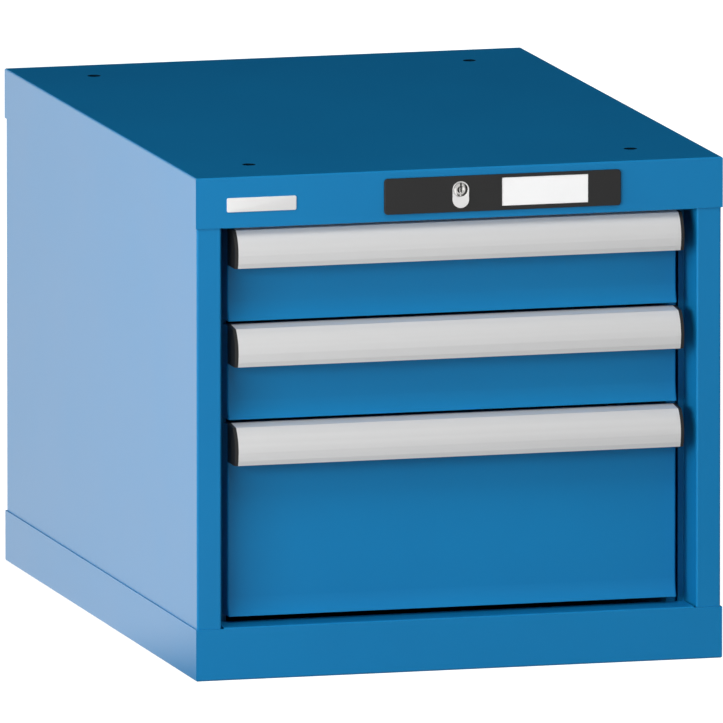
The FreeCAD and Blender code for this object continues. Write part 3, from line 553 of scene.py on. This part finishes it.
def stepped_disc(points, radius, middle, turned, outwards, edge, rings):
    """A disc whose face goes up and down in rings. Outwards is the way it faces, and each ring is in mm."""
    start_fresh()
    bpy.ops.mesh.primitive_circle_add(
        vertices=points, radius=radius, fill_type="NGON", location=middle, rotation=turned)
    made = bpy.context.object
    bpy.ops.object.transform_apply(location=True, rotation=True, scale=True)
    bpy.ops.object.mode_set(mode="EDIT")
    bpy.ops.mesh.select_all(action="SELECT")
    bpy.ops.mesh.extrude_region_move(TRANSFORM_OT_translate={"value": [way * edge for way in outwards]})
    for inset, step in rings:
        bpy.ops.mesh.inset(thickness=inset * MM, use_boundary=True)
        bpy.ops.transform.translate(value=[way * step * MM for way in outwards])
    bpy.ops.mesh.select_all(action="SELECT")
    bpy.ops.mesh.normals_make_consistent(inside=False)
    bpy.ops.object.mode_set(mode="OBJECT")
    return made


def combine(made, other, operation):
    """Joins another closed shape to a piece, or cuts it out, and takes that shape away."""
    take_up(made)
    step = made.modifiers.new(operation, "BOOLEAN")
    step.object = other
    step.operation = operation
    step.solver = "EXACT"
    bpy.ops.object.modifier_apply(modifier=step.name)
    bpy.data.objects.remove(other)


def badge_plate():
    """Bare white plate at the front left of the top cover."""
    size = (BADGE_RIGHT - BADGE_LEFT, BADGE_THICK, BADGE_HIGH - BADGE_LOW)
    middle = ((BADGE_LEFT + BADGE_RIGHT) / 2, FRONT_BAND - BADGE_THICK / 2, (BADGE_LOW + BADGE_HIGH) / 2)
    made = block(middle, size)
    bpy.ops.object.mode_set(mode="EDIT")
    select_edges(made, lambda a, b: abs(a.y - b.y) > BADGE_THICK / 2)
    bpy.ops.mesh.bevel(offset=BADGE_CORNER, segments=BADGE_CORNER_STEPS, affect="EDGES")
    round_front_edges(made, FRONT_BAND - BADGE_THICK, BADGE_EDGE, BADGE_EDGE_STEPS)
    return settle(made, "badge_plate", "housing", "light_plastic")


def lock_rib():
    """The rounded rib across the lock's face, which holds the keyway."""
    made = block(
        (0, LOCK_FACE_BACK - LOCK_CREST / 2, LOCK_AXIS_HEIGHT), (LOCK_RIB_WIDTH, LOCK_CREST, LOCK_RIB_HEIGHT))
    bpy.ops.object.mode_set(mode="EDIT")
    round_front_edges(made, LOCK_FACE_BACK - LOCK_CREST, LOCK_RIB_ROUND, LOCK_RIB_STEPS)
    bpy.ops.object.mode_set(mode="OBJECT")
    return made


def lock_face():
    """Polished face of the lock core: a domed ring round a shallow dish, and a keyway in a rounded rib."""
    made = stepped_disc(
        LOCK_POINTS, LOCK_FACE_RADIUS, (0, LOCK_FACE_BACK, LOCK_AXIS_HEIGHT), (math.pi / 2, 0, 0),
        (0, -1, 0), LOCK_RIM, LOCK_DOME + LOCK_DISH)
    combine(made, lock_rib(), "UNION")
    keyway = block(
        (0, LOCK_FACE_BACK, LOCK_AXIS_HEIGHT + KEYWAY_RAISED), (KEYWAY_WIDTH, KEYWAY_CUTTER, KEYWAY_HEIGHT))
    combine(made, keyway, "DIFFERENCE")
    return settle(made, "lock_face", "lock", "nickel", LOCK_SMOOTH_ANGLE)


def rivet_head():
    """One blind rivet's head at the origin that faces +X: a low dome with the dimple of its pin."""
    return stepped_disc(
        RIVET_POINTS, RIVET_RADIUS, (0, 0, 0), (0, math.pi / 2, 0), (1, 0, 0), RIVET_EDGE, RIVET_DOME)


def rail_rivets(head, level):
    """Two rows of rivet heads inside a drawer, along the middle of the rails that they hold."""
    walls_low, walls_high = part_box(f"side_walls_{level}")
    rail_low, rail_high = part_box(f"drawer_rails_{level}")
    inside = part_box(f"back_wall_{level}")[1].x
    first = walls_low.y + RIVET_INSET
    apart = (walls_high.y - walls_low.y - 2 * RIVET_INSET) / (RIVETS_PER_RAIL - 1)
    copies = []
    for side in (-1, 1):
        for count in range(RIVETS_PER_RAIL):
            made = head.copy()
            made.data = head.data.copy()
            bpy.context.scene.collection.objects.link(made)
            made.location = (side * inside, first + count * apart, (rail_low.z + rail_high.z) / 2)
            made.rotation_euler = (0, 0, 0 if side < 0 else math.pi)
            copies.append(made)
    take_up(copies[0])
    for made in copies:
        made.select_set(True)
    bpy.ops.object.join()
    return settle(copies[0], f"rail_rivets_{level}", f"drawer_{level}", "zinc_steel")


def floor():
    """White studio floor that keeps a soft shadow.

    Its light reaches only the camera and reflections, where some areas of it look brighter than others.
    """
    bpy.ops.mesh.primitive_plane_add(size=FLOOR_SIZE, location=(0, 0, 0))
    made = bpy.context.object
    made.name = "studio_floor"
    finish, tree, shader = new_material("floor_white", {
        "Roughness": 0.9, "Specular IOR Level": 0.0, "Emission Color": WHITE})
    path = tree.nodes.new("ShaderNodeLightPath").outputs
    paint(tree, shader, two_tones(tree, path["Is Glossy Ray"], FLOOR_LIT, FLOOR_MIRRORED, start=0.0, end=1.0))
    place = axes_of(tree, place_on(tree))
    back = ranged(tree, place["Y"], [FOREMOST + behind for behind in FLOOR_BACK_BEHIND], (0.0, FLOOR_BACK))
    ahead = maths(tree, "SUBTRACT", FOREMOST - FLOOR_LINE_AHEAD, place["Y"])
    aside = maths(tree, "DIVIDE", place["X"], maths(tree, "MAXIMUM", ahead, FLOOR_LEAST_AHEAD))
    left = maths(
        tree, "MULTIPLY", ranged(tree, aside, FLOOR_LEFT_ASIDE, (0.0, FLOOR_LEFT)),
        ranged(tree, ahead, FLOOR_LEFT_AHEAD))
    front = maths(
        tree, "MULTIPLY", ranged(tree, aside, FLOOR_FRONT_ASIDE, (0.0, FLOOR_FRONT)),
        ranged(tree, ahead, FLOOR_FRONT_AHEAD))
    near = ranged(tree, ahead, FLOOR_NEAR_AHEAD, (FLOOR_NEAR, 0.0))
    bright = maths(tree, "MAXIMUM", maths(tree, "MAXIMUM", back, left), maths(tree, "MAXIMUM", front, near))
    reflection = maths(tree, "MAXIMUM", path["Is Glossy Ray"], path["Is Transmission Ray"])
    light = weighted(tree, (path["Is Camera Ray"], FLOOR_SEEN), (reflection, bright))
    feed(tree, shader.inputs["Emission Strength"], light)
    made.data.materials.append(finish)


def room():
    """White to the camera. A reflection shows it bright on the left and ahead, and black elsewhere.

    Other rays take a dim white from it, which fills the shade.
    """
    world = bpy.data.worlds.new("studio_room")
    bpy.context.scene.world = world
    world.use_nodes = True
    tree = world.node_tree
    back = tree.nodes["Background"]
    feed(tree, back.inputs["Color"], WHITE)
    path = tree.nodes.new("ShaderNodeLightPath").outputs
    way = axes_of(tree, place_on(tree, "Generated"))
    front = ranged(tree, way["Y"], ROOM_FRONT_Y)
    front = maths(tree, "MULTIPLY", front, ranged(tree, way["Z"], ROOM_HEIGHT_Z, (ROOM_LOW, ROOM_HIGH)))
    front = maths(tree, "MULTIPLY", front, ranged(tree, way["X"], ROOM_RIGHT_X, (1.0, 0.0)))
    left = maths(
        tree, "MULTIPLY", ranged(tree, way["X"], ROOM_LEFT_X, (0.0, ROOM_LEFT)),
        ranged(tree, way["Y"], ROOM_LEFT_Y, (ROOM_LEFT_FRONT_SHARE, 1.0)))
    seen = maths(tree, "MAXIMUM", path["Is Camera Ray"], path["Is Transmission Ray"])
    mirrored = path["Is Glossy Ray"]
    others = maths(tree, "SUBTRACT", 1.0, maths(tree, "MAXIMUM", seen, mirrored))
    light = weighted(
        tree, (seen, 1.0), (mirrored, maths(tree, "MAXIMUM", front, left)), (others, ROOM_FILL))
    feed(tree, back.inputs["Strength"], light)


def aim(made, target, azimuth, elevation, distance):
    """Puts a lamp or the camera where it looks at its target."""
    turn, tilt = math.radians(azimuth), math.radians(elevation)
    away = Vector((math.sin(turn) * math.cos(tilt), -math.cos(turn) * math.cos(tilt), math.sin(tilt)))
    made.location = target + away * distance
    made.rotation_mode = "QUATERNION"
    made.rotation_quaternion = (-away).to_track_quat("-Z", "Y")


def lamp(name, azimuth, elevation, width, height, power):
    """A soft rectangular lamp that looks at the cabinet's middle. No reflection shows it."""
    data = bpy.data.lights.new(name, "AREA")
    data.shape = "RECTANGLE"
    data.size = width
    data.size_y = height
    data.energy = power
    made = bpy.data.objects.new(name, data)
    bpy.context.scene.collection.objects.link(made)
    aim(made, (cad_box[0] + cad_box[1]) / 2, azimuth, elevation, LAMP_DISTANCE)
    made.visible_glossy = False


def camera():
    """A long lens far away, so that edges stay parallel as in the photograph."""
    data = bpy.data.cameras.new("camera")
    data.lens = CAMERA_LENS
    data.sensor_width = CAMERA_SENSOR
    data.clip_end = CAMERA_REACH
    made = bpy.data.objects.new("camera", data)
    bpy.context.scene.collection.objects.link(made)
    aim(made, Vector(CAMERA_TARGET), CAMERA_AZIMUTH, CAMERA_ELEVATION, CAMERA_DISTANCE)
    bpy.context.scene.camera = made


finish_nodes()
badge_plate()
lock_face()
rivet = rivet_head()
for level in LEVELS:
    rail_rivets(rivet, level)
bpy.data.objects.remove(rivet)
floor()
room()
for name, place in LAMPS.items():
    lamp(name, *place)
camera()
bpy.context.scene.view_settings.view_transform = "Standard"
